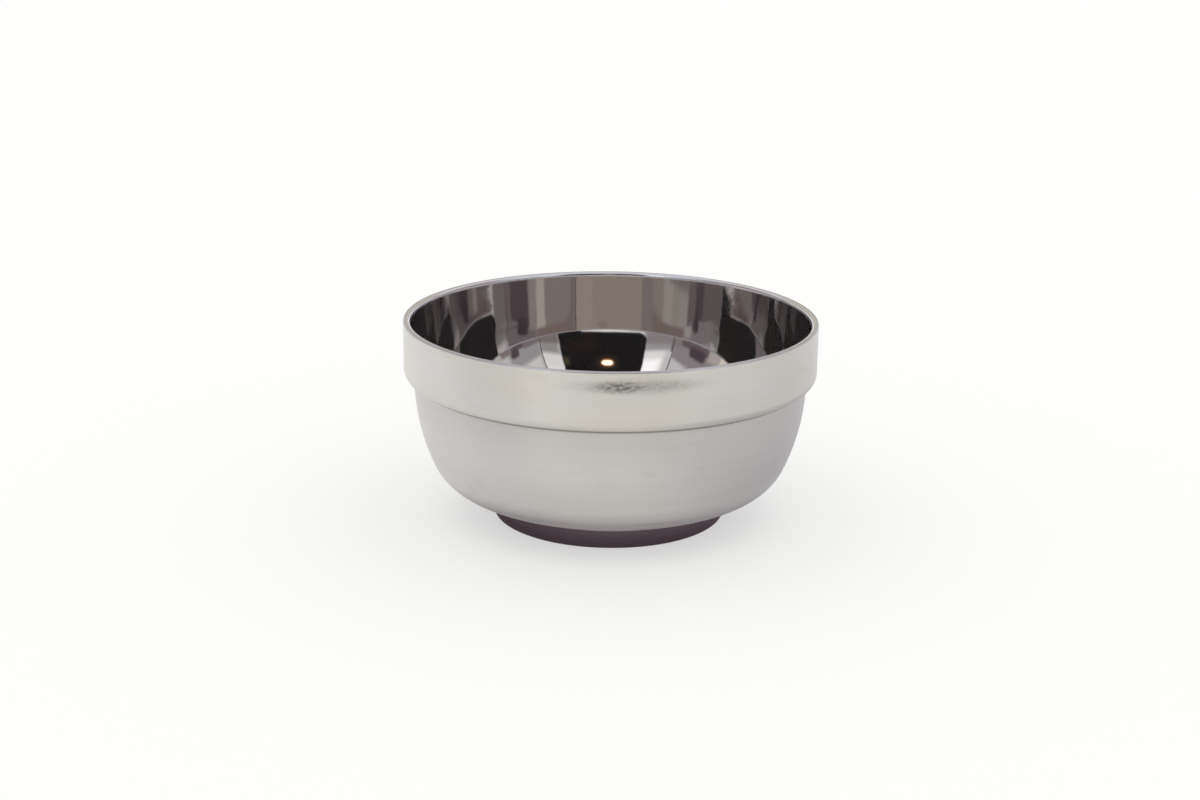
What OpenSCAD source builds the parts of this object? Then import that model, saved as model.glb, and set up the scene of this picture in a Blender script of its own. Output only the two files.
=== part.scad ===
// Double-walled bowl drawn from stainless sheet, with a stepped rim band and a welded foot ring.
// The bowl's axis is Z, and the origin is the centre of the foot's contact face.
// Both shells are sheets of even thickness. Their faces are chains of tangent arcs, so the
// hidden face of a sheet is the same chain with every radius changed by the depth into the sheet.

/* [Bowl] */
// Outside diameter of the rim band
rim_d = 130; // [120:1:140]
// Height from the table to the crown of the lip
bowl_h = 63.8; // [60:0.2:68]
// Thickness of the drawn sheet of both shells
sheet_t = 0.3; // [0.25:0.05:0.4]

/* [Lip] */
// Radius of the bend at the top of the outer shell, on its outer face
outer_bend_r = 0.5; // [0.45:0.05:0.9]
// Width of the flat edge that each shell has on top of the lip, beside the seam
edge_w = 0.25; // [0.25:0.05:0.4]
// Width of the ground seam between the edges of the two shells
seam_w = 0.2; // [0.15:0.05:0.4]
// Radius of the bend at the top of the inner shell, on the mirror face
inner_bend_r = 1.1; // [0.8:0.05:1.3]
// How far the ground seam lies below the crown of the lip
seam_sink = 0.08; // [0.05:0.01:0.15]
// How far the root of the seam spreads under each flat edge
root_lap = 0.15; // [0.1:0.05:0.2]
// Height of the root of the seam
root_h = 0.3; // [0.2:0.05:0.5]

/* [Rim band] */
// Depth below the crown at which the straight band ends
band_h = 15.3; // [12:0.1:18]
// How far the belly stands in from the band
step_in = 3.2; // [2.8:0.1:3.4]
// Radius of the shoulder under the band
shoulder_r = 3.3; // [3.2:0.1:4.5]
// Radius of the crease where the shoulder meets the belly
crease_r = 0.3; // [0.25:0.05:0.5]

/* [Belly] */
// Lean from upright at which the belly's tall upper arc hands over to its lower arc
belly_turn = 24; // [20:1:27]
// Lean at which the lower arc hands over to the straight cone above the foot
base_lean = 75; // [70:1:80]
// Width of the straight cone between the lower arc and the foot ring
cone_w = 8.6; // [6:0.2:11]

/* [Inside] */
// Air gap between the two shells where the inner one passes the crease
crease_gap = 0.6; // [0.1:0.05:0.8]
// Lean from upright at which the wall's tall upper arc hands over to its middle arc
wall_lean = 7.6; // [7:0.2:8.4]
// Lean of the mirror wall where its middle arc passes the crease
crease_lean = 10.4; // [9.6:0.2:11.2]
// Lean at which the wall's middle arc hands over to the bottom curve
wall_turn = 35; // [33:1:37]
// How far the edge of the flat floor stands in from the belly
floor_in = 39.4; // [36:0.1:43]
// Air gap between the floor of the inner shell and the base of the outer one
floor_gap = 1.6; // [1.2:0.1:2.5]

/* [Foot ring] */
// How far the foot ring stands in from the belly
foot_in = 25; // [22:0.1:28]
// Height of the foot ring, from the table to the flat base of the outer shell
foot_h = 6.9; // [6:0.1:9]
// Thickness of the foot ring's sheet
foot_t = 0.7; // [0.5:0.05:0.9]
// Radius of the foot ring's two bends, on the outer face
foot_bend_r = 1.1; // [1:0.1:1.6]
// Width of the flange that stands on the table
rest_flange_w = 2.6; // [2:0.1:4]
// Width of the flange that is welded to the base
weld_flange_w = 6; // [5:0.1:8]

/* [Foot welds] */
// Number of plug welds round the foot ring
weld_count = 8; // [4:1:12]
// Radius of each hole in the flange that a plug weld fills
weld_r = 1.1; // [0.8:0.1:1.4]
// How far each weld's crown stands below the flange
weld_crown_h = 0.35; // [0.2:0.05:0.6]
// How far each weld's crown laps over the edge of its hole
weld_lap = 0.3; // [0.2:0.05:0.5]

/* [Vent] */
// Radius of the vent hole in the base, through which the gap is aired before it is sealed
vent_r = 1; // [0.6:0.1:1.5]
// Radius of the head of the plug that seals the vent
plug_head_r = 2.6; // [2:0.1:4]
// Height of the plug's head
plug_head_h = 0.7; // [0.4:0.1:1.2]

/* [Hidden] */

// Steps along each arc of an outline, and round the axis
arc_steps = 10;
long_arc_steps = 16;
round_steps = 180;
small_round_steps = 48;

// Bearings in the outline's plane, where 0 points away from the axis and 90 points up
out = 0;
up = 90;
inward = 180;
down = -90;

// Radii of the outer shell's corners
rim_r = rim_d / 2;
belly_r = rim_r - step_in;
foot_r = belly_r - foot_in;

// Lip, from outside in: outer bend, flat edge, seam, flat edge, inner bend
outer_bend_c = [rim_r - outer_bend_r, bowl_h - outer_bend_r];
seam_outer_r = outer_bend_c.x - edge_w;
seam_inner_r = seam_outer_r - seam_w;
inner_bend_c = [seam_inner_r - edge_w, bowl_h - inner_bend_r];

// Shoulder and crease: the crease turns the sheet upright again at the belly's top
shoulder_turn = acos(1 - step_in / (shoulder_r + crease_r));
shoulder_c = [rim_r - shoulder_r, bowl_h - band_h];
crease_c = [belly_r + crease_r, shoulder_c.y - (shoulder_r + crease_r) * sin(shoulder_turn)];

// Belly: two arcs join the upright sheet under the crease to the cone above the foot
belly_top = [belly_r, crease_c.y];
cone_top = [foot_r + cone_w, foot_h + cone_w / tan(base_lean)];
belly_arcs = two_arcs(belly_top, 0, belly_turn, cone_top, base_lean);
belly_upper_r = belly_arcs[0];
belly_lower_r = belly_arcs[1];
belly_upper_c = swing(belly_top, -belly_upper_r, 0);
belly_lower_c = swing(belly_upper_c, belly_upper_r - belly_lower_r, belly_turn);

// Inside: the middle arc clears the crease by the gap and ends at the curve to the flat floor
wall_at_crease = swing(crease_c, -(crease_r + sheet_t + crease_gap + sheet_t), crease_lean);
floor_edge = [belly_r - floor_in, foot_h + sheet_t + floor_gap + sheet_t];
floor_lean = 90;
bottom_arcs = two_arcs(wall_at_crease, crease_lean, wall_turn, floor_edge, floor_lean);
wall_middle_r = bottom_arcs[0];
bottom_r = bottom_arcs[1];
wall_middle_c = swing(wall_at_crease, -wall_middle_r, crease_lean);
bottom_c = swing(floor_edge, -bottom_r, floor_lean);

// Inside: the upper arc starts at the top of the middle one and is tangent to the lip's bend.
// Its radius is below zero where it has to curve the other way
wall_mid = swing(wall_middle_c, wall_middle_r, wall_lean);
lip_to_wall = wall_mid - inner_bend_c;
lip_along_wall = lip_to_wall * swing([0, 0], 1, wall_lean) + inner_bend_r;
wall_upper_r = (lip_to_wall * lip_to_wall - inner_bend_r * inner_bend_r) / (2 * lip_along_wall);
wall_upper_c = swing(wall_mid, -wall_upper_r, wall_lean);
bend_to_centre = wall_upper_c - inner_bend_c;
lip_lean = atan(-bend_to_centre.y / bend_to_centre.x);

// Foot welds lie on the middle of the welded flange's flat
weld_ring_r = foot_r - (weld_flange_w + foot_bend_r) / 2;

// The point of an arc about c at which a wall leans in by lean from upright
function swing(c, r, lean) = c + r * [cos(lean), -sin(lean)];

// The radii of two tangent arcs that take a wall from point p at lean a, through the lean m
// where they meet, to point e at lean z
function two_arcs(p, a, m, e, z) =
    let (
        run = e - p,
        first = [cos(m) - cos(a), sin(a) - sin(m)],
        second = [cos(z) - cos(m), sin(m) - sin(z)],
        det = first.x * second.y - first.y * second.x
    )
    [(run.x * second.y - run.y * second.x) / det, (first.x * run.y - first.y * run.x) / det];

// The points of an arc about c with radius r, from bearing a to bearing b, without its first point
function arc(c, r, a, b, steps = arc_steps) =
    [for (i = [1 : steps]) let (t = a + (b - a) * i / steps) c + r * [cos(t), sin(t)]];

function reversed(list) = [for (i = [len(list) - 1 : -1 : 0]) list[i]];

// A sheet's section: its shown face at depth 0 and its hidden face at full depth
function sheet_section(shown, hidden) = concat(shown, reversed(hidden));

// The inner shell's face at a depth behind the mirror face, from the seam to the axis
function inner_face(depth) = concat(
    [[seam_inner_r, bowl_h - depth]],
    [[inner_bend_c.x, bowl_h - depth]],
    arc(inner_bend_c, inner_bend_r - depth, up, inward - lip_lean),
    arc(wall_upper_c, wall_upper_r + depth, -lip_lean, -wall_lean),
    arc(wall_middle_c, wall_middle_r + depth, -wall_lean, -wall_turn),
    arc(bottom_c, bottom_r + depth, -wall_turn, down, long_arc_steps),
    [[0, floor_edge.y - depth]]
);

// The outer shell's face at a depth behind the satin face, from the seam to the vent
function outer_face(depth) = concat(
    [[seam_outer_r, bowl_h - depth]],
    [[outer_bend_c.x, bowl_h - depth]],
    arc(outer_bend_c, outer_bend_r - depth, up, out),
    [[rim_r - depth, shoulder_c.y]],
    arc(shoulder_c, shoulder_r - depth, out, -shoulder_turn),
    arc(crease_c, crease_r + depth, inward - shoulder_turn, inward),
    arc(belly_upper_c, belly_upper_r - depth, out, -belly_turn),
    arc(belly_lower_c, belly_lower_r - depth, -belly_turn, -base_lean, long_arc_steps),
    [[foot_r - depth * tan((up - base_lean) / 2), foot_h + depth]],
    [[vent_r, foot_h + depth]]
);

// The foot ring's face at a depth behind its outer face, from the welded flange to the other
function foot_face(depth) = concat(
    [[foot_r - weld_flange_w, foot_h - depth]],
    [[foot_r - foot_bend_r, foot_h - depth]],
    arc([foot_r - foot_bend_r, foot_h - foot_bend_r], foot_bend_r - depth, up, out),
    [[foot_r - depth, foot_bend_r]],
    arc([foot_r - foot_bend_r, foot_bend_r], foot_bend_r - depth, out, down),
    [[foot_r - rest_flange_w, depth]]
);

// Places its children at every plug weld, with the origin on the base's underside
module at_welds() {
    for (i = [0 : weld_count - 1])
        rotate(360 * i / weld_count)
            translate([weld_ring_r, 0, foot_h])
                children();
}

// A filled hole with a crown below it: a stem down from z 0, and a shallow dome under the stem
module filled_hole(stem_r, stem_h, head_r, head_h) {
    dome_r = (head_r * head_r + head_h * head_h) / (2 * head_h);
    dome_turn = asin(head_r / dome_r);
    rotate_extrude($fn = small_round_steps)
        polygon(concat(
            [[0, 0]],
            [[stem_r, 0]],
            [[stem_r, -stem_h]],
            [[head_r, -stem_h]],
            arc([0, dome_r - stem_h - head_h], dome_r, dome_turn + down, down)
        ));
}

// Drawn liner with the mirror inside, bent outward at the lip
module inner_shell() {
    color([0.47, 0.43, 0.4])
        rotate_extrude($fn = round_steps)
            polygon(sheet_section(inner_face(0), inner_face(sheet_t)));
}

// Drawn satin casing: bent inward at the lip, stepped under the band, with a vented flat base
module outer_shell() {
    color([0.77, 0.76, 0.73])
        rotate_extrude($fn = round_steps)
            polygon(sheet_section(outer_face(0), outer_face(sheet_t)));
}

// Ground weld that joins the two bent edges, with its root spread under them
module rim_seam() {
    root_top = bowl_h - sheet_t;
    color([0.6, 0.58, 0.56])
        rotate_extrude($fn = round_steps)
            polygon([
                [seam_inner_r, bowl_h - seam_sink],
                [seam_outer_r, bowl_h - seam_sink],
                [seam_outer_r, root_top],
                [seam_outer_r + root_lap, root_top],
                [seam_outer_r + root_lap, root_top - root_h],
                [seam_inner_r - root_lap, root_top - root_h],
                [seam_inner_r - root_lap, root_top],
                [seam_inner_r, root_top]
            ]);
}

// Pressed channel ring that the bowl stands on, polished, with holes for its plug welds
module foot_ring() {
    color([0.24, 0.19, 0.21])
        difference() {
            rotate_extrude($fn = round_steps)
                polygon(sheet_section(foot_face(0), foot_face(foot_t)));
            at_welds()
                translate([0, 0, -2 * foot_t])
                    cylinder(r = weld_r, h = 3 * foot_t, $fn = small_round_steps);
        }
}

// Plug welds that fill the flange's holes and hold the foot ring to the base
module foot_welds() {
    color([0.5, 0.46, 0.42])
        at_welds()
            filled_hole(weld_r, foot_t, weld_r + weld_lap, weld_crown_h);
}

// Plug that fills the vent in the base and seals the gap between the shells
module vent_plug() {
    color([0.55, 0.53, 0.51])
        translate([0, 0, foot_h + sheet_t])
            filled_hole(vent_r, sheet_t, plug_head_r, plug_head_h);
}

inner_shell();
outer_shell();
rim_seam();
foot_ring();
foot_welds();
vent_plug();
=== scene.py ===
"""Double-walled stainless steel bowl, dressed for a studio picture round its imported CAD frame.

Sizes are in metres, in the frame's own axes: +Z up, origin at the centre of the foot.
"""
import math

import bpy
from bpy.props import FloatProperty, FloatVectorProperty, IntProperty, PointerProperty
from bpy.types import Operator, Panel, PropertyGroup
from mathutils import Matrix, Vector


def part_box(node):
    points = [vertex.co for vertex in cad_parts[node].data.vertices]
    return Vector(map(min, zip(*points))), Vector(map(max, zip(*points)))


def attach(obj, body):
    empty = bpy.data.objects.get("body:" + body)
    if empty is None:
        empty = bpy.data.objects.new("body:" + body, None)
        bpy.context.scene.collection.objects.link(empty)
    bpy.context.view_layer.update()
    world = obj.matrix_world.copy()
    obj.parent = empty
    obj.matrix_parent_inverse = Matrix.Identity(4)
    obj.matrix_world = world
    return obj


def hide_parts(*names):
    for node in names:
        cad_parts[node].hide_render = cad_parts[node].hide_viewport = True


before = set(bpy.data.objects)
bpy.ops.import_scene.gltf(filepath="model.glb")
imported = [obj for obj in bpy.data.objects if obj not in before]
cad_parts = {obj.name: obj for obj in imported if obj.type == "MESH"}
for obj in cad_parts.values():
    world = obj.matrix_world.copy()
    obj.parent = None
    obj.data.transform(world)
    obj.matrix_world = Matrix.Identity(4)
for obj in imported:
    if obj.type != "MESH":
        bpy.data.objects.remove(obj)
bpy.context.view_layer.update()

bl_info = {
    "name": "Stainless Steel Bowl",
    "version": (1, 0, 0),
    "blender": (4, 5, 0),
    "location": "View3D > Sidebar > Steel Bowl",
    "description": "Makes a double-walled steel bowl, mirror inside and satin outside",
    "category": "Add Mesh",
}

MM = 0.001
BODY = "root"

# Highest corners of the CAD pieces that give the bowl's main sizes
SHELL_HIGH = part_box("outer_shell")[1]
FOOT_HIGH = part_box("foot_ring")[1]

# Bearings in a section's plane, in degrees: 0 points away from the axis and 90 points up
OUT, UP, INWARD, DOWN = 0.0, 90.0, 180.0, -90.0

# Lean from upright of the flat floor inside the bowl, in degrees
FLOOR_LEAN = 90.0


# Properties


def length(name, description, default_mm):
    """A size in metres, whose default is given in millimetres."""
    return FloatProperty(
        name=name, description=description, default=default_mm * MM,
        unit="LENGTH", subtype="DISTANCE", precision=5,
    )


def degrees(name, description, default_degrees):
    """An angle, whose default is given in degrees."""
    return FloatProperty(
        name=name, description=description, default=math.radians(default_degrees),
        unit="ROTATION", subtype="ANGLE", precision=4,
    )


def share(name, description, default):
    """A number from 0 to 1."""
    return FloatProperty(
        name=name, description=description, default=default,
        min=0.0, max=1.0, subtype="FACTOR",
    )


def colour(name, description, default):
    """A linear colour."""
    return FloatVectorProperty(
        name=name, description=description, default=default,
        min=0.0, max=1.0, size=3, subtype="COLOR",
    )


class BowlSizes(PropertyGroup):
    """The driving sizes of the bowl, as in its CAD source."""

    rim_r: length("Rim radius", "Radius of the band under the lip", SHELL_HIGH[0] / MM)
    bowl_h: length("Height", "From the table to the crown of the lip", SHELL_HIGH[2] / MM)
    sheet_t: length("Sheet", "Thickness of both shells", 0.3)
    outer_bend_r: length("Outer bend", "Radius of the lip's outer bend", 0.5)
    inner_bend_r: length("Inner bend", "Radius of the lip's inner bend", 1.1)
    edge_w: length("Flat edge", "Width of each shell's flat edge beside the seam", 0.25)
    seam_w: length("Seam", "Width of the ground seam", 0.2)
    seam_sink: length("Seam sink", "How far the seam lies below the crown", 0.08)
    root_lap: length("Root lap", "How far the seam's root spreads under each edge", 0.15)
    root_h: length("Root", "Height of the seam's root", 0.3)
    band_h: length("Band", "Height of the upright band, from the crown", 15.3)
    step_in: length("Step", "How far the belly stands in from the band", 3.2)
    shoulder_r: length("Shoulder", "Radius of the shoulder under the band", 3.3)
    crease_r: length("Crease", "Radius of the crease above the belly", 0.3)
    belly_turn: degrees("Belly turn", "Lean where the belly's two arcs meet", 24.0)
    base_lean: degrees("Base lean", "Lean of the cone above the foot", 75.0)
    cone_w: length("Cone", "Width of the cone above the foot", 8.6)
    vent_r: length("Vent", "Radius of the plugged vent in the base", 1.0)
    crease_gap: length("Crease gap", "Air gap between the shells at the crease", 0.6)
    wall_lean: degrees("Wall lean", "Lean where the wall's upper and middle arcs meet", 7.6)
    crease_lean: degrees("Crease lean", "Lean of the wall where it passes the crease", 10.4)
    wall_turn: degrees("Wall turn", "Lean where the wall meets the bottom curve", 35.0)
    floor_in: length("Floor edge", "How far the floor's edge stands in from the belly", 39.4)
    floor_gap: length("Floor gap", "Air gap between the floor and the base", 1.6)
    foot_r: length("Foot radius", "Radius of the foot ring", FOOT_HIGH[0] / MM)
    foot_h: length("Foot height", "Height of the foot ring", FOOT_HIGH[2] / MM)
    round_steps: IntProperty(
        name="Steps", description="Steps of each mesh round the axis", default=288, min=24
    )


class BowlFinish(PropertyGroup):
    """The colours and finishes of the bowl."""

    mirror: colour("Mirror", "Colour of the polished inside", (0.53, 0.505, 0.505))
    mirror_blur: share("Mirror blur", "Roughness of the polished inside", 0.035)
    polish_mark: length("Polish marks", "Height of the polish marks in the mirror", 0.007)
    satin: colour("Satin", "Colour of the satin outside", (0.68, 0.67, 0.655))
    satin_blur: share("Satin blur", "Roughness of the satin outside", 0.45)
    satin_grain: share("Satin grain", "How far the grain spreads light up and down", 0.8)
    straw: colour("Straw", "Colour of the faint warm stains on the band", (0.68, 0.66, 0.60))
    stain: colour("Stain", "Colour of the rubbed marks on the satin", (0.36, 0.34, 0.31))
    # Painted reflection: the dark camera side, painted on the band's front under the lip
    painted_camera_reflection: colour("Camera_reflection", "Colour of the smudge under the lip", (0.16, 0.15, 0.145))
    # Painted shade: the dark line along the crease and the faint shade under the shoulder
    crease_shade_colour: colour("Crease_shade", "Colour of the dark line in the crease", (0.22, 0.21, 0.18))
    mirror_haze: share("Mirror haze", "Share of light that the polish scatters", 0.03)
    lip: colour("Lip", "Colour of the polished lip", (0.57, 0.575, 0.635))
    lip_blur: share("Lip blur", "Roughness of the polished lip", 0.14)
    # Partly a rougher buffed finish, partly a painted highlight brighter than the mirror
    buff_highlight: colour("Buffed line", "Colour of the line under the lip's inner bend", (0.80, 0.79, 0.80))
    buff_blur: share("Buffed blur", "Roughness of the buffed line", 0.5)
    seam: colour("Seam", "Colour of the ground seam", (0.33, 0.32, 0.33))
    # Painted shade: the foot's darker mauve stands in for the shaded floor it reflects
    foot: colour("Foot", "Colour of the polished foot ring", (0.34, 0.28, 0.30))
    weld: colour("Weld", "Colour of the weld metal", (0.42, 0.38, 0.33))
    heat_tint: colour("Heat tint", "Straw tint on the weld metal", (0.40, 0.29, 0.16))


class BowlStudio(PropertyGroup):
    """The floor, the light tent and the camera."""

    floor: colour("Floor", "Colour of the plain floor", (0.93, 0.93, 0.925))
    floor_w: length("Floor width", "Width of the floor", 14000.0)
    daylight: FloatProperty(
        name="Daylight", description="Strength of the even light from all round",
        default=1.06, min=0.0,
    )
    tent_left: length("Tent left", "From the axis to the tent's left wall", 240.0)
    tent_right: length("Tent right", "From the axis to the tent's right wall", 285.0)
    tent_front: length("Tent front", "From the axis to the tent's front wall", 240.0)
    tent_back: length("Tent back", "From the axis to the tent's back wall", 225.0)
    tent_h: length("Tent height", "Height of the light tent", 480.0)
    camera_away: length("Camera", "From the crown's centre to the camera", 603.6)
    camera_rise: degrees("Rise", "The camera's elevation", 14.054)
    camera_pan: degrees("Pan", "The camera's turn to the left", 0.2941)
    camera_tilt: degrees("Tilt", "The camera's turn upward", -2.4887)
    camera_roll: degrees("Roll", "The camera's turn about its view", 0.7269)
    lens: FloatProperty(
        name="Lens", description="Focal length in millimetres on a 36 mm sensor", default=57.63
    )


# Sections: an edge is (start, normal at start, end, normal at end)

# Longest step along each arc of a section, in degrees
LIP_STEP = 4.0
WALL_TOP_STEP = 0.2
WALL_STEP = 0.8
BOTTOM_STEP = 1.2
SHOULDER_STEP = 2.5
CREASE_STEP = 5.0
BELLY_TOP_STEP = 0.8
BELLY_STEP = 1.5

# Decimals of a metre to which points are taken to be the same, and of a degree to which a
# stored angle is read
SAME_PLACE = 8
ANGLE_DECIMALS = 4


def in_degrees(angle):
    """A stored angle in degrees, free of the small error of its storage."""
    return round(math.degrees(angle), ANGLE_DECIMALS)


def bearing(angle):
    """The unit vector that points along a bearing."""
    turn = math.radians(angle)
    return Vector((math.cos(turn), math.sin(turn)))


def swing(centre, radius, lean):
    """The point of an arc at which a wall leans in by lean from upright."""
    return centre + radius * bearing(-lean)


def two_arcs(start, start_lean, meet_lean, end, end_lean):
    """The radii of two tangent arcs from start to end, by way of the lean where they meet."""
    run = end - start
    first = bearing(-meet_lean) - bearing(-start_lean)
    second = bearing(-end_lean) - bearing(-meet_lean)
    det = first.x * second.y - first.y * second.x
    return (
        (run.x * second.y - run.y * second.x) / det,
        (first.x * run.y - first.y * run.x) / det,
    )


def arc(centre, radius, start, end, step, hollow=False):
    """The edges of an arc between two bearings, step degrees each, facing in where hollow."""
    steps = max(2, math.ceil(abs(end - start) / step))
    side = -1.0 if hollow else 1.0
    spokes = [bearing(start + (end - start) * i / steps) for i in range(steps + 1)]
    ends = [(centre + radius * spoke, side * spoke) for spoke in spokes]
    return [first + second for first, second in zip(ends, ends[1:])]


def flat(start, end, facing):
    """One straight edge that faces along a bearing."""
    normal = bearing(facing)
    return [(Vector(start), normal, Vector(end), normal)]


def sheet(face, thickness, *cut_facings):
    """A sheet's closed outline: its shown face, its hidden face, and its cut edges.

    face gives the edges at a depth. The first cut is where they start and the second where
    they end, and a face that ends on the axis has no second cut.
    """
    shown, hidden = face(0.0), face(thickness)
    starts = (shown[0][0], hidden[0][0])
    ends = (shown[-1][2], hidden[-1][2])
    turned = [(a, -a_normal, b, -b_normal) for a, a_normal, b, b_normal in hidden]
    cuts = [flat(*points, facing)[0] for points, facing in zip((starts, ends), cut_facings)]
    return shown + turned + cuts


class BowlSection:
    """The bowl's section, worked out from the driving sizes as in the CAD source."""

    def __init__(self, sizes):
        self.sizes = s = sizes
        self.belly_r = s.rim_r - s.step_in

        # Leans in degrees, as bearings are
        self.belly_turn, self.base_lean = in_degrees(s.belly_turn), in_degrees(s.base_lean)
        self.wall_lean, self.crease_lean = in_degrees(s.wall_lean), in_degrees(s.crease_lean)
        self.wall_turn = in_degrees(s.wall_turn)

        # Lip, from outside in: outer bend, flat edge, seam, flat edge, inner bend
        self.outer_bend_c = Vector((s.rim_r - s.outer_bend_r, s.bowl_h - s.outer_bend_r))
        self.seam_outer_r = self.outer_bend_c.x - s.edge_w
        self.seam_inner_r = self.seam_outer_r - s.seam_w
        self.inner_bend_c = Vector((self.seam_inner_r - s.edge_w, s.bowl_h - s.inner_bend_r))

        # Shoulder and crease: the crease turns the sheet upright again at the belly's top
        turn = math.acos(1.0 - s.step_in / (s.shoulder_r + s.crease_r))
        self.shoulder_turn = math.degrees(turn)
        self.shoulder_c = Vector((s.rim_r - s.shoulder_r, s.bowl_h - s.band_h))
        crease_z = self.shoulder_c.y - (s.shoulder_r + s.crease_r) * math.sin(turn)
        self.crease_c = Vector((self.belly_r + s.crease_r, crease_z))

        # Belly: two arcs join the upright sheet under the crease to the cone above the foot
        cone_rise = s.cone_w / math.tan(math.radians(self.base_lean))
        cone_top = Vector((s.foot_r + s.cone_w, s.foot_h + cone_rise))
        belly_top = Vector((self.belly_r, crease_z))
        self.belly_upper_r, self.belly_lower_r = two_arcs(
            belly_top, 0.0, self.belly_turn, cone_top, self.base_lean
        )
        self.belly_upper_c = swing(belly_top, -self.belly_upper_r, 0.0)
        self.belly_lower_c = swing(
            self.belly_upper_c, self.belly_upper_r - self.belly_lower_r, self.belly_turn
        )

        # Inside: the middle arc clears the crease by the gap and ends at the bottom curve
        inset = s.crease_r + s.sheet_t + s.crease_gap + s.sheet_t
        wall_at_crease = swing(self.crease_c, -inset, self.crease_lean)
        floor_z = s.foot_h + s.sheet_t + s.floor_gap + s.sheet_t
        self.floor_edge = Vector((self.belly_r - s.floor_in, floor_z))
        self.wall_middle_r, self.bottom_r = two_arcs(
            wall_at_crease, self.crease_lean, self.wall_turn, self.floor_edge, FLOOR_LEAN
        )
        self.wall_middle_c = swing(wall_at_crease, -self.wall_middle_r, self.crease_lean)
        self.bottom_c = swing(self.floor_edge, -self.bottom_r, FLOOR_LEAN)

        # Inside: the upper arc starts at the middle one and is tangent to the lip's bend
        wall_mid = swing(self.wall_middle_c, self.wall_middle_r, self.wall_lean)
        lip_to_wall = wall_mid - self.inner_bend_c
        along_wall = lip_to_wall.dot(bearing(-self.wall_lean)) + s.inner_bend_r
        chord = lip_to_wall.length_squared - s.inner_bend_r ** 2
        self.wall_upper_r = chord / (2.0 * along_wall)
        self.wall_upper_c = swing(wall_mid, -self.wall_upper_r, self.wall_lean)
        to_centre = self.wall_upper_c - self.inner_bend_c
        self.lip_lean = math.degrees(math.atan(-to_centre.y / to_centre.x))

    def inner_face(self, depth):
        """The inner shell's face at a depth behind the mirror, from the seam to the axis."""
        s = self.sizes
        top, floor_z = s.bowl_h - depth, self.floor_edge.y - depth
        return (
            flat((self.seam_inner_r, top), (self.inner_bend_c.x, top), UP)
            + arc(self.inner_bend_c, s.inner_bend_r - depth,
                  UP, INWARD - self.lip_lean, LIP_STEP)
            + arc(self.wall_upper_c, self.wall_upper_r + depth,
                  -self.lip_lean, -self.wall_lean, WALL_TOP_STEP, hollow=True)
            + arc(self.wall_middle_c, self.wall_middle_r + depth,
                  -self.wall_lean, -self.wall_turn, WALL_STEP, hollow=True)
            + arc(self.bottom_c, self.bottom_r + depth,
                  -self.wall_turn, DOWN, BOTTOM_STEP, hollow=True)
            + flat((self.floor_edge.x, floor_z), (0.0, floor_z), UP)
        )

    def outer_face(self, depth):
        """The outer shell's face at a depth behind the satin, from the seam to the vent."""
        s = self.sizes
        top, side, base_z = s.bowl_h - depth, s.rim_r - depth, s.foot_h + depth
        cone_top = swing(self.belly_lower_c, self.belly_lower_r - depth, self.base_lean)
        cone_end = (s.foot_r - depth * math.tan(math.radians(UP - self.base_lean) / 2.0), base_z)
        return (
            flat((self.seam_outer_r, top), (self.outer_bend_c.x, top), UP)
            + arc(self.outer_bend_c, s.outer_bend_r - depth, UP, OUT, LIP_STEP)
            + flat((side, self.outer_bend_c.y), (side, self.shoulder_c.y), OUT)
            + arc(self.shoulder_c, s.shoulder_r - depth,
                  OUT, -self.shoulder_turn, SHOULDER_STEP)
            + arc(self.crease_c, s.crease_r + depth,
                  INWARD - self.shoulder_turn, INWARD, CREASE_STEP, hollow=True)
            + arc(self.belly_upper_c, self.belly_upper_r - depth,
                  OUT, -self.belly_turn, BELLY_TOP_STEP)
            + arc(self.belly_lower_c, self.belly_lower_r - depth,
                  -self.belly_turn, -self.base_lean, BELLY_STEP)
            + flat(cone_top, cone_end, -self.base_lean)
            + flat(cone_end, (s.vent_r, base_z), DOWN)
        )

    def seam_outline(self):
        """The seam's outline: a narrow top between the flat edges, and a root under them."""
        s = self.sizes
        top, neck = s.bowl_h - s.seam_sink, s.bowl_h - s.sheet_t
        foot = neck - s.root_h
        left, right = self.seam_inner_r, self.seam_outer_r
        root_left, root_right = left - s.root_lap, right + s.root_lap
        return (
            flat((left, top), (right, top), UP)
            + flat((right, top), (right, neck), OUT)
            + flat((right, neck), (root_right, neck), UP)
            + flat((root_right, neck), (root_right, foot), OUT)
            + flat((root_right, foot), (root_left, foot), DOWN)
            + flat((root_left, foot), (root_left, neck), INWARD)
            + flat((root_left, neck), (left, neck), UP)
            + flat((left, neck), (left, top), INWARD)
        )


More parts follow.
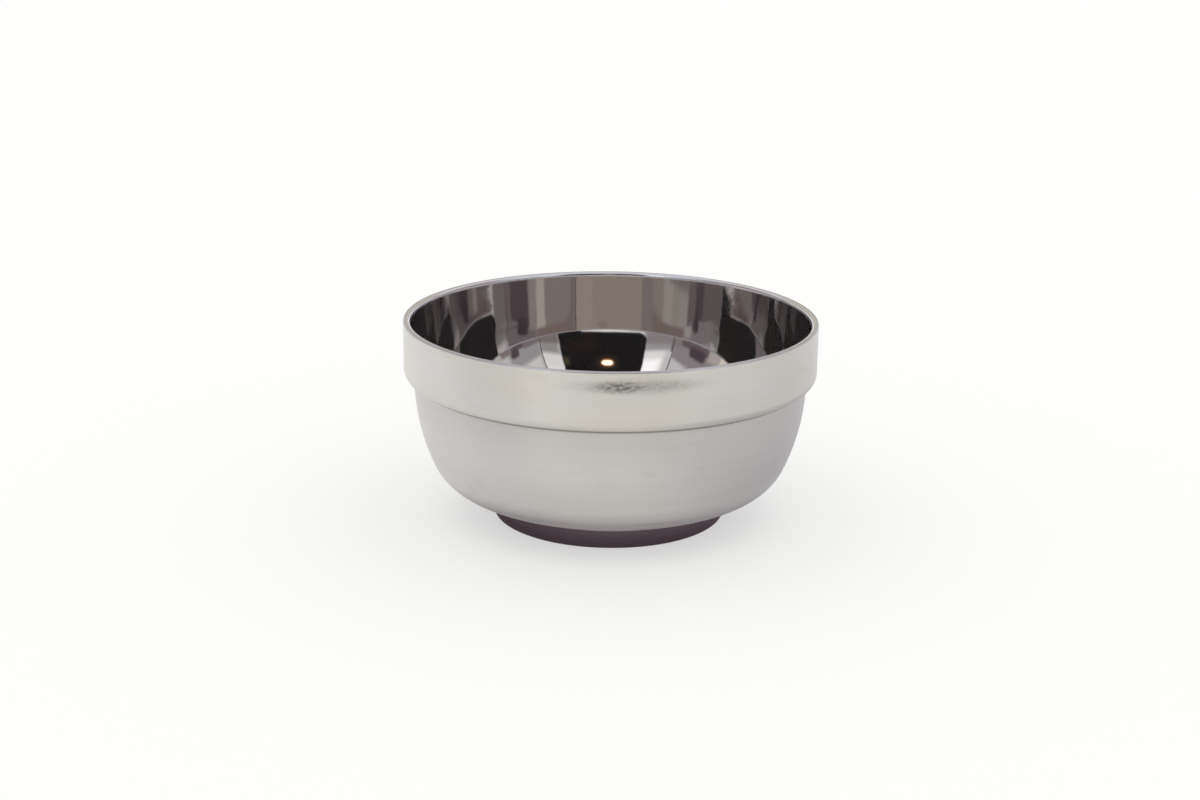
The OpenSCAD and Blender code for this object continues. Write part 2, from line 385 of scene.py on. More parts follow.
def spin(name, edges, steps):
    """A new object: the edges of a closed outline, turned once round the bowl's axis."""
    vertices, faces, normals, rings = [], [], [], {}
    turns = [math.tau * i / steps for i in range(steps)]
    spokes = [(math.cos(turn), math.sin(turn)) for turn in turns]

    def ring(point):
        """The vertices round one point, or the one vertex where it is on the axis."""
        key = (round(point.x, SAME_PLACE), round(point.y, SAME_PLACE))
        if key not in rings:
            shown = spokes if key[0] > 0.0 else spokes[:1]
            rings[key] = [len(vertices) + i for i in range(len(shown))]
            vertices.extend((key[0] * x, key[0] * y, point.y) for x, y in shown)
        return rings[key]

    def turned(normal, i):
        """A section's normal, turned to spoke i."""
        return (normal.x * spokes[i][0], normal.x * spokes[i][1], normal.y)

    for start, start_normal, end, end_normal in edges:
        way = end - start
        outward = way.y * start_normal.x - way.x * start_normal.y > 0.0
        first, second = ring(start), ring(end)
        for i in range(steps):
            j = (i + 1) % steps
            corners = [(first[i % len(first)], turned(start_normal, i))]
            if len(first) > 1:
                corners.append((first[j], turned(start_normal, j)))
            if len(second) > 1:
                corners.append((second[j], turned(end_normal, j)))
            corners.append((second[i % len(second)], turned(end_normal, i)))
            if not outward:
                corners.reverse()
            faces.append([vertex for vertex, _ in corners])
            normals.extend(normal for _, normal in corners)

    mesh = bpy.data.meshes.new(name)
    mesh.from_pydata(vertices, [], faces)
    mesh.shade_smooth()
    mesh.normals_split_custom_set(normals)
    piece = bpy.data.objects.new(name, mesh)
    bpy.context.scene.collection.objects.link(piece)
    return piece


def add_piece(name, edges, steps, material, slot, *nodes):
    """Makes a turned piece that stands for CAD nodes, with its finish and its body."""
    piece = spin(name, edges, steps)
    piece.data.materials.append(material)
    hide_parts(*nodes)
    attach(piece, BODY)
    return piece


# Materials

# Patterns that run round the axis: (per metre along, per metre across, detail, roughness)
POLISH_MARKS = (300.0, 300.0, 2.0, 0.5)
POLISH_HAZE = (30.0, 400.0, 4.0, 0.5)
BRUSH_GRAIN = (25.0, 9000.0, 2.0, 0.5)
BRUSH_STREAKS = (9.0, 500.0, 3.0, 0.5)
RUBBED_MARKS = (60.0, 170.0, 5.0, 0.65)
WARM_STAINS = (30.0, 70.0, 3.0, 0.5)
REFLECTION_SPECKLE = (600.0, 1500.0, 4.0, 0.7)
SEAM_MARKS = (700.0, 700.0, 3.0, 0.5)
TURNING_LINES = (20.0, 2600.0, 2.0, 0.5)

# Patterns in all directions: (per metre, detail)
WELD_RIPPLES = (1400.0, 3.0)
WELD_TINT = (260.0, 2.0)

# What a pattern is turned into: (low, high, result at low, result at high)
HAZE_TO_BLUR = (0.3, 0.75, 0.7, 1.5)
STAINS_TO_STRAW = (0.35, 0.65, 0.3, 1.0)
GRAIN_TO_WEAR = (0.3, 0.7, -0.04, 0.035)
RUBBED_TO_WEAR = (0.55, 0.8, 0.0, 0.22)
STREAKS_TO_WEAR = (0.35, 0.75, -0.03, 0.04)
GRAIN_TO_BLUR = (0.2, 0.8, 0.9, 1.1)
SPECKLE_TO_REFLECTION = (0.3, 0.65, 0.35, 1.0)
MARKS_TO_SHINE = (0.3, 0.7, 0.0, 1.0)
MARKS_TO_BLUR = (0.2, 0.8, 0.35, 0.6)
LINES_TO_SHADE = (0.3, 0.8, 0.0, 1.0)
LINES_TO_BLUR = (0.2, 0.8, 0.1, 0.2)
TINT_TO_STRAW = (0.4, 0.65, 0.0, 1.0)
RIPPLES_TO_BLUR = (0.2, 0.8, 0.35, 0.55)

# The lip's finish starts and is full at these shares of its bends, counted down from the crown
INNER_LIP_SHARES = (1.0, 0.8)
OUTER_LIP_SHARES = (1.0, 0.4)

# Buffed line under the lip's inner bend, painted brighter as a highlight, in mm under the crown:
# where it fades in, then out
BUFF_IN = (0.95, 1.05)
BUFF_OUT = (1.4, 1.2)

# How far below the band its straw tint fades out, in mm
STRAW_FADE = 4.0

# Painted reflection of the dark camera side on the band's front, in mm: its depth under the
# crown, and the X, half width and half height of its wide and its dark spot
REFLECTION_DEPTH = 4.3
WIDE_SPOT = (8.0, 24.0, 2.8)
DARK_SPOT = (2.5, 9.0, 2.4)

# A spot's edge and core as shares of its half sizes, the dark spot's share of the painted
# reflection, and the share of the band's radius, in front of the axis, from which it is full
SPOT_FADE = (1.1, 0.2)
DARK_SHARE = 0.5
FRONT_SHARE = 0.5

# Painted shade, in mm from the crease: its line's height, half width, core and strength, then
# the edge, reach and strength of the painted shade under the shoulder
CREASE_SHADE_RISE, CREASE_SHADE_HALF, CREASE_SHADE_CORE, CREASE_SHADE_SHARE = 0.4, 1.05, 0.1, 0.95
SHOULDER_SHADE_EDGE, SHOULDER_SHADE_REACH, SHOULDER_SHADE_SHARE = 0.5, 16.0, 0.17

# Height of the weld's ripples, in mm
RIPPLE_H = 0.05

# Turns the grain's direction from up and down to round the axis, in turns
GRAIN_TURN = 0.25

# Numbers of a mix node's sockets: its factor, its two inputs and its output
COLOUR_SOCKETS = (0, 6, 7, 2)
NUMBER_SOCKETS = (0, 2, 3, 0)


class Bench:
    """Adds nodes to one material, and joins them."""

    def __init__(self, material):
        material.use_nodes = True
        self.tree = material.node_tree
        self.tree.nodes.clear()
        self.output = self.add("ShaderNodeOutputMaterial")

    def add(self, kind, inputs=None, **settings):
        """A new node with its settings, and with its inputs set or joined."""
        node = self.tree.nodes.new(kind)
        for name, value in settings.items():
            setattr(node, name, value)
        for name, value in (inputs or {}).items():
            self.feed(node.inputs[name], value)
        return node

    def feed(self, socket, value):
        """Joins a socket to another node's output, or sets its value."""
        if isinstance(value, bpy.types.NodeSocket):
            self.tree.links.new(value, socket)
        elif socket.type == "RGBA" and len(value) == 3:
            socket.default_value = (*value, 1.0)
        else:
            socket.default_value = value

    def maths(self, operation, *values):
        """The result of a sum on numbers or sockets."""
        return self.add(
            "ShaderNodeMath", dict(enumerate(values)), operation=operation
        ).outputs[0]

    def vector(self, operation, *values, output="Vector"):
        """The result of a sum on vectors."""
        return self.add(
            "ShaderNodeVectorMath", dict(enumerate(values)), operation=operation
        ).outputs[output]

    def place(self):
        """The object's own X, Y and Z, in metres."""
        coordinates = self.add("ShaderNodeTexCoord").outputs["Object"]
        return self.add("ShaderNodeSeparateXYZ", {"Vector": coordinates}).outputs

    def join(self, x=0.0, y=0.0, z=0.0):
        """A vector from its three numbers."""
        return self.add("ShaderNodeCombineXYZ", {"X": x, "Y": y, "Z": z}).outputs[0]

    def fade(self, value, low, high, to_low=0.0, to_high=1.0):
        """A smooth change from to_low to to_high as a value goes from low to high."""
        return self.add(
            "ShaderNodeMapRange",
            {"Value": value, "From Min": low, "From Max": high,
             "To Min": to_low, "To Max": to_high},
            interpolation_type="SMOOTHSTEP",
        ).outputs["Result"]

    def mix(self, kind, sockets, *values):
        """The result of a mix node on a factor and two values."""
        node = self.add("ShaderNodeMix", data_type=kind)
        *inputs, output = sockets
        for socket, value in zip(inputs, values):
            self.feed(node.inputs[socket], value)
        return node.outputs[output]

    def blend(self, factor, low, high):
        """A colour between two colours."""
        return self.mix("RGBA", COLOUR_SOCKETS, factor, low, high)

    def between(self, factor, low, high):
        """A number between two numbers."""
        return self.mix("FLOAT", NUMBER_SOCKETS, factor, low, high)

    def noise(self, vector, scale, detail, roughness=0.5):
        """Noise from 0 to 1."""
        return self.add(
            "ShaderNodeTexNoise",
            {"Vector": vector, "Scale": scale, "Detail": detail, "Roughness": roughness},
        ).outputs["Fac"]

    def pattern(self, place, along, across, detail, roughness):
        """Noise that runs round the axis."""
        return self.noise(self.around(place, along, across), 1.0, detail, roughness)

    def around(self, place, along, across):
        """A place whose pattern runs round the axis: along and across are patterns per metre."""
        radius = self.maths("SQRT", self.maths(
            "ADD", self.maths("MULTIPLY", place["X"], place["X"]),
            self.maths("MULTIPLY", place["Y"], place["Y"]),
        ))
        depth = self.maths("SUBTRACT", place["Z"], radius)
        return self.join(
            self.maths("MULTIPLY", place["X"], along),
            self.maths("MULTIPLY", place["Y"], along),
            self.maths("MULTIPLY", depth, across),
        )

    def metal(self, base_colour, blur, normal=None, grain=0.0):
        """Finishes the material as a metal, with its grain running round the axis."""
        shader = self.add(
            "ShaderNodeBsdfPrincipled",
            {"Base Color": base_colour, "Metallic": 1.0, "Roughness": blur},
        )
        if normal is not None:
            self.feed(shader.inputs["Normal"], normal)
        if grain > 0.0:
            shader.inputs["Anisotropic"].default_value = grain
            shader.inputs["Anisotropic Rotation"].default_value = GRAIN_TURN
            tangent = self.add("ShaderNodeTangent", direction_type="RADIAL", axis="Z")
            self.feed(shader.inputs["Tangent"], tangent.outputs["Tangent"])
        self.feed(self.output.inputs["Surface"], shader.outputs["BSDF"])
        return shader


def new_material(name):
    """An empty material and its bench."""
    material = bpy.data.materials.new(name)
    return material, Bench(material)


def mirror_steel(sizes, finish):
    """Polished steel with faint polish marks, a buffed line above them that is rougher and painted
    brighter as a highlight, and a bright lip.
    """
    material, bench = new_material("mirror_steel")
    place = bench.place()
    depth = bench.maths("SUBTRACT", sizes.bowl_h, place["Z"])
    on_lip = bench.fade(depth, *(part * sizes.inner_bend_r for part in INNER_LIP_SHARES))
    buffed_highlight = bench.maths(
        "MULTIPLY",
        bench.fade(depth, *(edge * MM for edge in BUFF_IN)),
        bench.fade(depth, *(edge * MM for edge in BUFF_OUT)),
    )
    marks = bench.pattern(place, *POLISH_MARKS)
    haze = bench.fade(bench.pattern(place, *POLISH_HAZE), *HAZE_TO_BLUR)
    height = bench.maths("MULTIPLY", marks, finish.polish_mark)
    bump = bench.add("ShaderNodeBump", {"Height": height, "Distance": 1.0, "Strength": 1.0})
    blur = bench.maths("MULTIPLY", haze, finish.mirror_blur)
    blur = bench.between(on_lip, blur, finish.lip_blur)
    blur = bench.between(buffed_highlight, blur, finish.buff_blur)
    base = bench.blend(on_lip, tuple(finish.mirror), tuple(finish.lip))
    # Painted highlight: the buffed line is painted brighter than the mirror
    base = bench.blend(buffed_highlight, base, tuple(finish.buff_highlight))
    shader = bench.metal(base, blur, bump.outputs["Normal"])
    shader.inputs["Metallic"].default_value = 1.0 - finish.mirror_haze
    return material


def satin_steel(sizes, finish):
    """Steel brushed round the bowl, with fine grain, faint stains, a painted reflection of the
    camera side under the lip, and painted shade in the crease.
    """
    material, bench = new_material("satin_steel")
    place = bench.place()
    depth = bench.maths("SUBTRACT", sizes.bowl_h, place["Z"])
    grain = bench.pattern(place, *BRUSH_GRAIN)
    streaks = bench.fade(bench.pattern(place, *BRUSH_STREAKS), *STREAKS_TO_WEAR)
    rubbed = bench.fade(bench.pattern(place, *RUBBED_MARKS), *RUBBED_TO_WEAR)
    warm = bench.fade(bench.pattern(place, *WARM_STAINS), *STAINS_TO_STRAW)
    on_band = bench.fade(depth, sizes.band_h + STRAW_FADE * MM, sizes.band_h)
    on_crown = bench.fade(depth, *(part * sizes.outer_bend_r for part in OUTER_LIP_SHARES))
    base = bench.blend(
        bench.maths("MULTIPLY", on_band, warm), tuple(finish.satin), tuple(finish.straw)
    )
    worn = bench.maths("ADD", bench.fade(grain, *GRAIN_TO_WEAR), rubbed)
    worn = bench.maths("ADD", worn, streaks)
    base = bench.blend(bench.maths("MAXIMUM", worn, 0.0), base, tuple(finish.stain))
    # Painted reflection of the dark camera side on the band's front, under the lip
    base = bench.blend(camera_reflection_mask(bench, place, sizes), base, tuple(finish.painted_camera_reflection))
    # Painted shade along the crease, and fading down the belly under the shoulder
    base = bench.blend(painted_crease_shade(bench, place, sizes), base, tuple(finish.crease_shade_colour))
    base = bench.blend(on_crown, base, tuple(finish.lip))
    blur = bench.maths("MULTIPLY", bench.fade(grain, *GRAIN_TO_BLUR), finish.satin_blur)
    bench.metal(base, blur, grain=finish.satin_grain)
    return material


def soft_spot(bench, place, middle, spot):
    """A soft oval at the height middle on the front of the band, from one of the spots."""
    centre, half_w, half_h = (value * MM for value in spot)
    along = bench.maths("DIVIDE", bench.maths("SUBTRACT", place["X"], centre), half_w)
    up = bench.maths("DIVIDE", bench.maths("SUBTRACT", place["Z"], middle), half_h)
    reach = bench.vector("LENGTH", bench.join(along, up), output="Value")
    return bench.fade(reach, *SPOT_FADE)


def camera_reflection_mask(bench, place, sizes):
    """A painted reflection of the dark camera side, soft and speckled, on the front of the band
    just under the lip.
    """
    middle = sizes.bowl_h - REFLECTION_DEPTH * MM
    wide = soft_spot(bench, place, middle, WIDE_SPOT)
    dark = soft_spot(bench, place, middle, DARK_SPOT)
    spread = bench.between(DARK_SHARE, wide, dark)
    front = bench.fade(place["Y"], 0.0, -FRONT_SHARE * sizes.rim_r)
    speckle = bench.fade(bench.pattern(place, *REFLECTION_SPECKLE), *SPECKLE_TO_REFLECTION)
    return bench.maths("MULTIPLY", bench.maths("MULTIPLY", spread, front), speckle)


def painted_crease_shade(bench, place, sizes):
    """Painted shade: a thin dark line along the crease, and a faint shade under the shoulder that
    fades down the belly.
    """
    crease_z = BowlSection(sizes).crease_c.y
    line_z = crease_z + CREASE_SHADE_RISE * MM
    height = bench.maths("ABSOLUTE", bench.maths("SUBTRACT", place["Z"], line_z))
    line = bench.fade(height, CREASE_SHADE_HALF * MM, CREASE_SHADE_CORE * MM, 0.0, CREASE_SHADE_SHARE)
    below = bench.fade(place["Z"], crease_z - SHOULDER_SHADE_REACH * MM, crease_z, 0.0, SHOULDER_SHADE_SHARE)
    under = bench.fade(place["Z"], crease_z + SHOULDER_SHADE_EDGE * MM, crease_z)
    return bench.maths("MAXIMUM", line, bench.maths("MULTIPLY", below, under))


def ground_seam(finish):
    """The darker line of weld metal, ground nearly flush."""
    material, bench = new_material("ground_seam")
    marks = bench.pattern(bench.place(), *SEAM_MARKS)
    shine = bench.fade(marks, *MARKS_TO_SHINE)
    base = bench.blend(shine, tuple(finish.seam), tuple(finish.lip))
    bench.metal(base, bench.fade(marks, *MARKS_TO_BLUR))
    return material


def foot_steel(finish):
    """Polished steel of the foot ring, painted darker and mauve as shade for the shaded floor it
    reflects, with faint turning lines.
    """
    material, bench = new_material("foot_steel")
    lines = bench.pattern(bench.place(), *TURNING_LINES)
    shade = bench.fade(lines, *LINES_TO_SHADE)
    # The foot's colour is painted shade, broken by the turning lines
    base = bench.blend(shade, tuple(finish.foot), tuple(finish.seam))
    bench.metal(base, bench.fade(lines, *LINES_TO_BLUR))
    return material


def weld_steel(finish):
    """Rough weld metal with a straw heat tint."""
    material, bench = new_material("weld_steel")
    place = bench.place()
    spot = bench.join(place["X"], place["Y"], place["Z"])
    ripples = bench.noise(spot, *WELD_RIPPLES)
    tint = bench.fade(bench.noise(spot, *WELD_TINT), *TINT_TO_STRAW)
    base = bench.blend(tint, tuple(finish.weld), tuple(finish.heat_tint))
    height = bench.maths("MULTIPLY", ripples, RIPPLE_H * MM)
    bump = bench.add("ShaderNodeBump", {"Height": height, "Distance": 1.0})
    bench.metal(base, bench.fade(ripples, *RIPPLES_TO_BLUR), bump.outputs["Normal"])
    return material


# Light tent: each wall is painted in order with soft-edged patches, in millimetres.
# A patch is (start, end, bottom, top, corner radius, soft edge, (red, green, blue))

# Glow of the dark lines at the tent's corners
DARK_LINE = (0.10, 0.07, 0.09)

# Across a whole wall, and above its top
WHOLE = (-400, 400)
HIGH = 600

# The bright foot of a wall: its bottom, top, corner radius and soft edge
SKIRT = (-50, 80, 0, 16)


def skirt(glow):
    """The bright foot of a wall, below what the mirror shows."""
    return (*WHOLE, *SKIRT, glow)


FRONT_PAPER = (1.30, 1.30, 1.28)
FRONT_PATCHES = (
    (178, 285, -20, 265, 0, 40, (1.18, 1.20, 1.19)),
    (178, 285, -20, 195, 0, 36, (0.46, 0.46, 0.46)),
    (178, 285, -20, 145, 0, 24, (0.30, 0.26, 0.26)),
    (-240, -200, -20, HIGH, 0, 30, (0.92, 0.95, 0.95)),
    (-185, -110, 215, HIGH, 10, 40, (1.80, 1.85, 1.85)),
    (-240, -110, -20, 172, 0, 30, (0.50, 0.51, 0.51)),
    (-240, -110, -20, 142, 0, 24, (0.40, 0.36, 0.37)),
    (-240, -226, -20, 180, 0, 12, (0.25, 0.22, 0.24)),
    # The dark opening, and the small warm lamp in it
    (-115, 178, 99, HIGH, 32, 8, (0.006, 0.005, 0.006)),
    (40, 150, 108, 180, 30, 60, (0.016, 0.010, 0.007)),
    (-25, 45, 195, 260, 30, 30, (0.05, 0.025, 0.015)),
    (-12, 31, 206, 246, 18, 10, (0.55, 0.26, 0.09)),
    (-9, 28, 214, 238, 11, 7, (3.0, 2.5, 1.8)),
    (150, 172, 205, 250, 10, 24, (0.09, 0.07, 0.04)),
    (90, 178, 90, 130, 4, 8, (0.006, 0.005, 0.006)),
    skirt((1.36, 1.34, 1.28)),
    (110, 285, -50, 80, 0, 30, (1.55, 1.54, 1.50)),
    (-240, -234, -20, HIGH, 0, 4, DARK_LINE),
    (278, 285, -20, HIGH, 0, 4, DARK_LINE),
)

RIGHT_PAPER = (0.80, 0.80, 0.79)
RIGHT_PATCHES = (
    (-225, -20, 210, HIGH, 10, 30, (0.98, 0.99, 0.95)),
    (-240, -20, -20, 205, 0, 30, (0.50, 0.49, 0.50)),
    (-70, -20, 140, 180, 10, 20, (0.86, 0.85, 0.84)),
    (-240, -150, -20, 143, 0, 12, (0.29, 0.25, 0.26)),
    (-150, -86, -20, 135, 8, 14, (0.17, 0.135, 0.15)),
    (-120, -80, 125, 160, 12, 14, (0.11, 0.095, 0.11)),
    (-88, -36, -20, 138, 6, 16, (0.34, 0.28, 0.29)),
    (-36, 15, -20, 142, 4, 14, (0.77, 0.74, 0.70)),
    (15, 66, -20, 148, 4, 14, (0.72, 0.70, 0.60)),
    (66, 130, -20, 148, 4, 24, (0.84, 0.81, 0.72)),
    (130, 225, -20, HIGH, 0, 24, (0.62, 0.58, 0.50)),
    (-20, 225, 150, HIGH, 0, 16, (0.46, 0.38, 0.34)),
    (-40, 90, -20, 113, 0, 10, (0.46, 0.43, 0.41)),
    skirt((1.12, 1.15, 1.21)),
    (-240, -90, -50, 80, 0, 60, (1.30, 1.31, 1.30)),
)

LEFT_PAPER = (0.58, 0.54, 0.49)
LEFT_PATCHES = (
    (-240, -90, 208, HIGH, 0, 30, (0.87, 0.90, 0.90)),
    (-240, -25, -20, 208, 0, 30, (0.40, 0.375, 0.39)),
    (-240, -200, -20, 148, 0, 16, (0.35, 0.31, 0.31)),
    (-200, -68, -20, 135, 8, 14, (0.19, 0.145, 0.16)),
    (-150, -78, 122, 160, 14, 16, (0.10, 0.075, 0.095)),
    (-68, -24, -20, 142, 4, 18, (0.66, 0.61, 0.58)),
    (-24, 22, -20, HIGH, 4, 12, (1.06, 1.02, 0.89)),
    (-24, 225, 142, HIGH, 0, 14, (0.49, 0.39, 0.36)),
    (200, 225, -20, HIGH, 0, 16, (0.44, 0.39, 0.36)),
    skirt((1.08, 1.11, 1.17)),
)

BACK_PAPER = (0.53, 0.47, 0.44)
BACK_PATCHES = (
    (-212, 178, -20, HIGH, 0, 8, (0.74, 0.68, 0.56)),
    (-212, -100, -20, HIGH, 0, 30, (0.82, 0.75, 0.64)),
    (-65, -20, 138, 157, 6, 12, (0.60, 0.53, 0.46)),
    (*WHOLE, 215, HIGH, 0, 50, (1.05, 1.03, 1.0)),
    (*WHOLE, -50, 92, 0, 20, (1.17, 1.22, 1.32)),
    (-222, -213, -20, HIGH, 0, 4, DARK_LINE),
)

TOP_PAPER = (0.94, 0.94, 0.94)

# What the metal sees of the floor, darkest under the bowl as a painted shadow, from under the bowl
# outward: radius in mm, then colour
FLOOR_RINGS = (
    (36, (0.13, 0.10, 0.115)),
    (51, (0.20, 0.17, 0.19)),
    (63, (0.80, 0.78, 0.76)),
    (130, (0.92, 0.90, 0.88)),
    (200, (1.26, 1.24, 1.20)),
)

# What the metal sees of the floor on the bowl's right, which is turned from the light. Its
# edges are in mm: across X, then out from the axis and back along Y, each with its strength
FLOOR_SHADE = (0.30, 0.28, 0.33)
SHADE_ACROSS = (10, 90)
SHADE_OUT, SHADE_OUT_SHARE = (190, 120), 0.66
SHADE_BACK, SHADE_BACK_SHARE = (-80, 40), 0.5

# The floor's own glow to the eye, and its share beside the light that falls on it
FLOOR_GLOW = (1.0, 1.0, 0.995)
GLOW_SHARE = 0.5

DAYLIGHT_TINT = (1.0, 0.995, 0.985)

# Camera: sensor's width in millimetres, and the nearest and farthest that it sees, in metres
SENSOR_W = 36.0
NEAREST, FARTHEST = 0.01, 40.0


def patch_mask(bench, spot, shape):
    """How far a spot of a wall lies in a patch of a shape, from 0 to 1."""
    start, end, bottom, top, corner, soft = (value * MM for value in shape)
    centre = ((start + end) / 2.0, (bottom + top) / 2.0, 0.0)
    inner = ((end - start) / 2.0 - corner, (top - bottom) / 2.0 - corner, 0.0)
    reach = bench.vector(
        "SUBTRACT", bench.vector("ABSOLUTE", bench.vector("SUBTRACT", spot, centre)), inner
    )
    outside = bench.vector(
        "LENGTH", bench.vector("MAXIMUM", reach, (0.0, 0.0, 0.0)), output="Value"
    )
    parts = bench.add("ShaderNodeSeparateXYZ", {"Vector": reach}).outputs
    inside = bench.maths("MINIMUM", bench.maths("MAXIMUM", parts["X"], parts["Y"]), 0.0)
    distance = bench.maths("SUBTRACT", bench.maths("ADD", outside, inside), corner)
    return bench.fade(distance, soft / 2.0, -soft / 2.0)


def tent_paper(name, paper, patches=(), along="X"):
    """A glowing wall of the tent, with its patches painted on in order."""
    material, bench = new_material(name)
    place = bench.place()
    spot = bench.join(place[along], place["Z"])
    glow = paper
    for *shape, patch_glow in patches:
        glow = bench.blend(patch_mask(bench, spot, shape), glow, patch_glow)
    light = bench.add("ShaderNodeEmission", {"Color": glow, "Strength": 1.0})
    bench.feed(bench.output.inputs["Surface"], light.outputs[0])
    return material


def floor_paper(studio):
    """The plain pale floor, which the metal sees darker where the bowl shades it."""
    material, bench = new_material("floor_paper")
    place = bench.place()
    plain = bench.add("ShaderNodeBsdfDiffuse", {"Color": tuple(studio.floor)})
    radius = bench.vector("LENGTH", bench.join(place["X"], place["Y"]), output="Value")
    glow = FLOOR_RINGS[0][1]
    for (near, _), (far, ring_colour) in zip(FLOOR_RINGS, FLOOR_RINGS[1:]):
        glow = bench.blend(bench.fade(radius, near * MM, far * MM), glow, ring_colour)
    beside = bench.fade(place["X"], *(edge * MM for edge in SHADE_ACROSS))
    near = bench.fade(radius, *(edge * MM for edge in SHADE_OUT), 0.0, SHADE_OUT_SHARE)
    behind = bench.fade(place["Y"], *(edge * MM for edge in SHADE_BACK), 0.0, SHADE_BACK_SHARE)
    shaded = bench.maths("MULTIPLY", beside, bench.maths("MAXIMUM", near, behind))
    glow = bench.blend(shaded, glow, FLOOR_SHADE)
    light = bench.add("ShaderNodeEmission", {"Color": glow, "Strength": 1.0})
    lit = bench.add("ShaderNodeEmission", {"Color": FLOOR_GLOW, "Strength": 1.0})
    pale = bench.add("ShaderNodeMixShader", {0: GLOW_SHARE})
    bench.feed(pale.inputs[1], plain.outputs[0])
    bench.feed(pale.inputs[2], lit.outputs[0])
    seen_in_metal = bench.add("ShaderNodeLightPath").outputs["Is Glossy Ray"]
    mixed = bench.add("ShaderNodeMixShader", {0: seen_in_metal})
    bench.feed(mixed.inputs[1], pale.outputs[0])
    bench.feed(mixed.inputs[2], light.outputs[0])
    bench.feed(bench.output.inputs["Surface"], mixed.outputs[0])
    return material


def card(name, corners, material):
    """A flat stage piece between four corners."""
    mesh = bpy.data.meshes.new(name)
    mesh.from_pydata(corners, [], [(0, 1, 2, 3)])
    mesh.materials.append(material)
    piece = bpy.data.objects.new(name, mesh)
    bpy.context.scene.collection.objects.link(piece)
    return piece


# Operators


class BOWL_OT_inner_shell(Operator):
    """Make the drawn liner, with its mirror inside and its half of the lip"""

    bl_idname = "bowl.inner_shell"
    bl_label = "Inner Shell"

    def execute(self, context):
        sizes, finish = context.scene.bowl_sizes, context.scene.bowl_finish
        section = BowlSection(sizes)
        outline = sheet(section.inner_face, sizes.sheet_t, OUT)
        add_piece(
            "inner_shell_polished", outline, sizes.round_steps,
            mirror_steel(sizes, finish), "mirror_steel", "inner_shell",
        )
        return {"FINISHED"}


class BOWL_OT_outer_shell(Operator):
    """Make the drawn satin casing: lip, band, shoulder, crease, belly and base"""

    bl_idname = "bowl.outer_shell"
    bl_label = "Outer Shell"

    def execute(self, context):
        sizes, finish = context.scene.bowl_sizes, context.scene.bowl_finish
        section = BowlSection(sizes)
        outline = sheet(section.outer_face, sizes.sheet_t, INWARD, INWARD)
        add_piece(
            "outer_shell_brushed", outline, sizes.round_steps,
            satin_steel(sizes, finish), "satin_steel", "outer_shell",
        )
        return {"FINISHED"}


class BOWL_OT_rim_seam(Operator):
    """Make the ground weld between the two edges of the lip"""

    bl_idname = "bowl.rim_seam"
    bl_label = "Rim Seam"

    def execute(self, context):
        sizes, finish = context.scene.bowl_sizes, context.scene.bowl_finish
        outline = BowlSection(sizes).seam_outline()
        add_piece(
            "rim_seam_ground", outline, sizes.round_steps,
            ground_seam(finish), "ground_seam", "rim_seam",
        )
        return {"FINISHED"}


class BOWL_OT_foot_ring(Operator):
    """Give the pressed foot ring its polish"""

    bl_idname = "bowl.foot_ring"
    bl_label = "Foot Ring"

    def execute(self, context):
        dress_node("foot_ring", foot_steel(context.scene.bowl_finish))
        return {"FINISHED"}


class BOWL_OT_welds(Operator):
    """Give the plug welds under the foot and the plug of the vent their weld finish"""

    bl_idname = "bowl.welds"
    bl_label = "Welds and Vent Plug"

    def execute(self, context):
        material = weld_steel(context.scene.bowl_finish)
        for node in ("foot_welds", "vent_plug"):
            dress_node(node, material)
        return {"FINISHED"}


def dress_node(node, material):
    """Gives a CAD node, whose shape is right as it is, a finish."""
    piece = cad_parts[node]
    if not piece.data.materials:
        piece.data.materials.append(None)
    for slot in piece.material_slots:
        slot.material = material


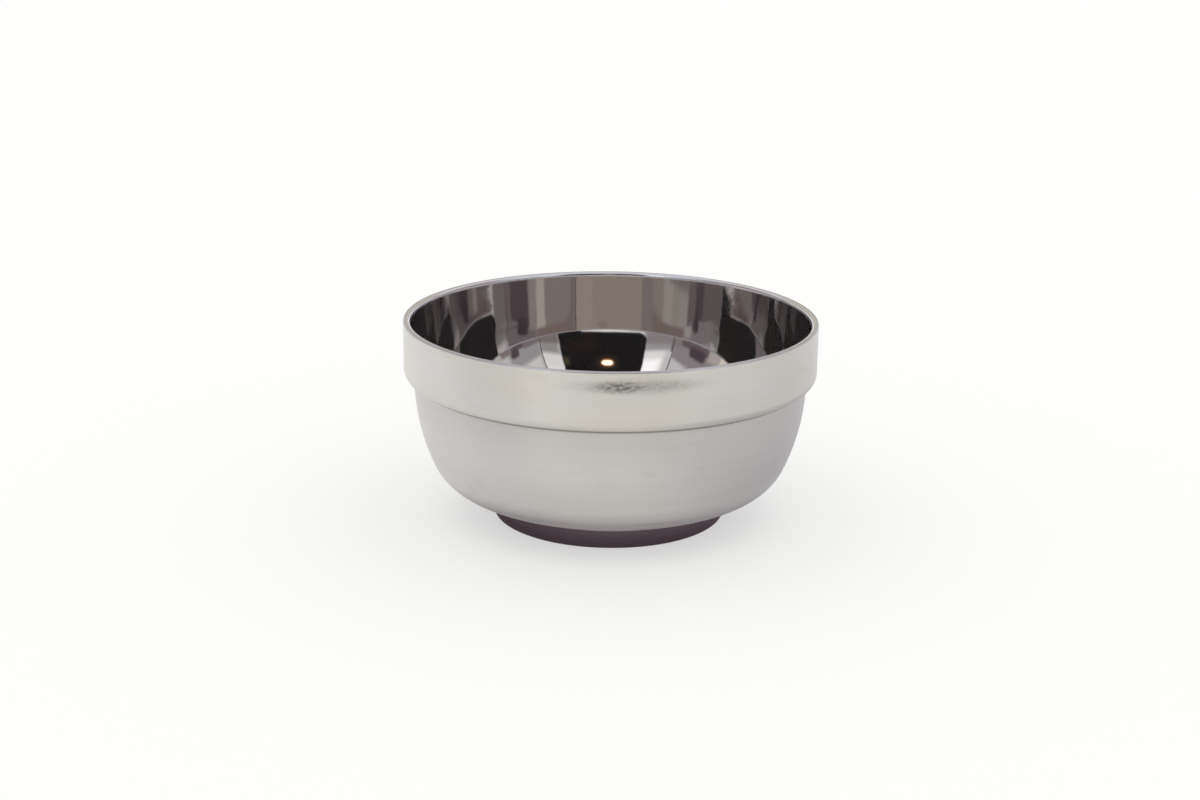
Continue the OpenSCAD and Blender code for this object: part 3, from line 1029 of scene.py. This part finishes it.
class BOWL_OT_stage(Operator):
    """Set out the plain floor, the light tent, the daylight and the camera"""

    bl_idname = "bowl.stage"
    bl_label = "Stage"

    def execute(self, context):
        studio = context.scene.bowl_studio
        self.lay_floor(studio)
        self.pitch_tent(studio)
        self.let_in_daylight(context.scene, studio)
        self.aim_camera(context.scene, studio)
        return {"FINISHED"}

    def lay_floor(self, studio):
        """A wide floor at the foot of the bowl."""
        half = studio.floor_w / 2.0
        corners = [(-half, -half, 0.0), (half, -half, 0.0), (half, half, 0.0), (-half, half, 0.0)]
        card("studio_floor", corners, floor_paper(studio))

    def pitch_tent(self, studio):
        """Four walls and a top, which only the metal sees."""
        left, right = -studio.tent_left, studio.tent_right
        front, back, high = -studio.tent_front, studio.tent_back, studio.tent_h
        walls = {
            "front": ([(left, front), (right, front)], FRONT_PAPER, FRONT_PATCHES, "X"),
            "right": ([(right, front), (right, back)], RIGHT_PAPER, RIGHT_PATCHES, "Y"),
            "left": ([(left, front), (left, back)], LEFT_PAPER, LEFT_PATCHES, "Y"),
            "back": ([(left, back), (right, back)], BACK_PAPER, BACK_PATCHES, "X"),
        }
        for side, ((start, end), paper, patches, along) in walls.items():
            corners = [(*start, 0.0), (*end, 0.0), (*end, high), (*start, high)]
            name = "tent_" + side
            self.hide_from_eye(card(name, corners, tent_paper(name, paper, patches, along)))
        plan = ((left, front), (right, front), (right, back), (left, back))
        corners = [(x, y, high) for x, y in plan]
        self.hide_from_eye(card("tent_top", corners, tent_paper("tent_top", TOP_PAPER)))

    def hide_from_eye(self, wall):
        """Leaves a wall to reflections only."""
        wall.visible_camera = False
        wall.visible_diffuse = False
        wall.visible_shadow = False

    def let_in_daylight(self, scene, studio):
        """Even light from all round."""
        world = bpy.data.worlds.new("studio_daylight")
        world.use_nodes = True
        background = world.node_tree.nodes["Background"]
        background.inputs["Color"].default_value = (*DAYLIGHT_TINT, 1.0)
        background.inputs["Strength"].default_value = studio.daylight
        scene.world = world
        scene.view_settings.view_transform = "Standard"

    def aim_camera(self, scene, studio):
        """A camera that looks at the crown's centre from the front, turned a little aside."""
        data = bpy.data.cameras.new("studio_camera")
        data.lens = studio.lens
        data.sensor_width = SENSOR_W
        data.clip_start = NEAREST
        data.clip_end = FARTHEST
        camera = bpy.data.objects.new("studio_camera", data)
        rise = studio.camera_rise
        crown = Vector((0.0, 0.0, SHELL_HIGH[2]))
        away = Vector((0.0, -math.cos(rise), math.sin(rise)))
        turn = Matrix.Rotation(math.pi / 2.0 - rise, 4, "X")
        for angle, axis in (
            (studio.camera_pan, "Y"), (studio.camera_tilt, "X"), (studio.camera_roll, "Z")
        ):
            turn = turn @ Matrix.Rotation(angle, 4, axis)
        camera.matrix_world = Matrix.Translation(crown + studio.camera_away * away) @ turn
        scene.collection.objects.link(camera)
        scene.camera = camera


class BOWL_PT_panel(Panel):
    """Lists the bowl's sizes, finishes and pieces"""

    bl_idname = "BOWL_PT_panel"
    bl_label = "Steel Bowl"
    bl_space_type = "VIEW_3D"
    bl_region_type = "UI"
    bl_category = "Steel Bowl"

    def draw(self, context):
        layout = self.layout
        for title, group in (
            ("Sizes", context.scene.bowl_sizes),
            ("Finish", context.scene.bowl_finish),
            ("Studio", context.scene.bowl_studio),
        ):
            box = layout.box()
            box.label(text=title)
            for name in group.__annotations__:
                box.prop(group, name)
        for operator in PIECES + (BOWL_OT_stage,):
            layout.operator(operator.bl_idname)


PIECES = (
    BOWL_OT_inner_shell,
    BOWL_OT_outer_shell,
    BOWL_OT_rim_seam,
    BOWL_OT_foot_ring,
    BOWL_OT_welds,
)
CLASSES = (BowlSizes, BowlFinish, BowlStudio) + PIECES + (BOWL_OT_stage, BOWL_PT_panel)
GROUPS = {"bowl_sizes": BowlSizes, "bowl_finish": BowlFinish, "bowl_studio": BowlStudio}


def register():
    """Adds the classes and the bowl's settings."""
    for item in CLASSES:
        bpy.utils.register_class(item)
    for name, group in GROUPS.items():
        setattr(bpy.types.Scene, name, PointerProperty(type=group))


def unregister():
    """Takes them away again."""
    for name in GROUPS:
        delattr(bpy.types.Scene, name)
    for item in reversed(CLASSES):
        bpy.utils.unregister_class(item)


def main():
    """Makes the bowl and its stage."""
    register()
    bpy.ops.bowl.inner_shell()
    bpy.ops.bowl.outer_shell()
    bpy.ops.bowl.rim_seam()
    bpy.ops.bowl.foot_ring()
    bpy.ops.bowl.welds()
    bpy.ops.bowl.stage()


if __name__ == "__main__":
    main()
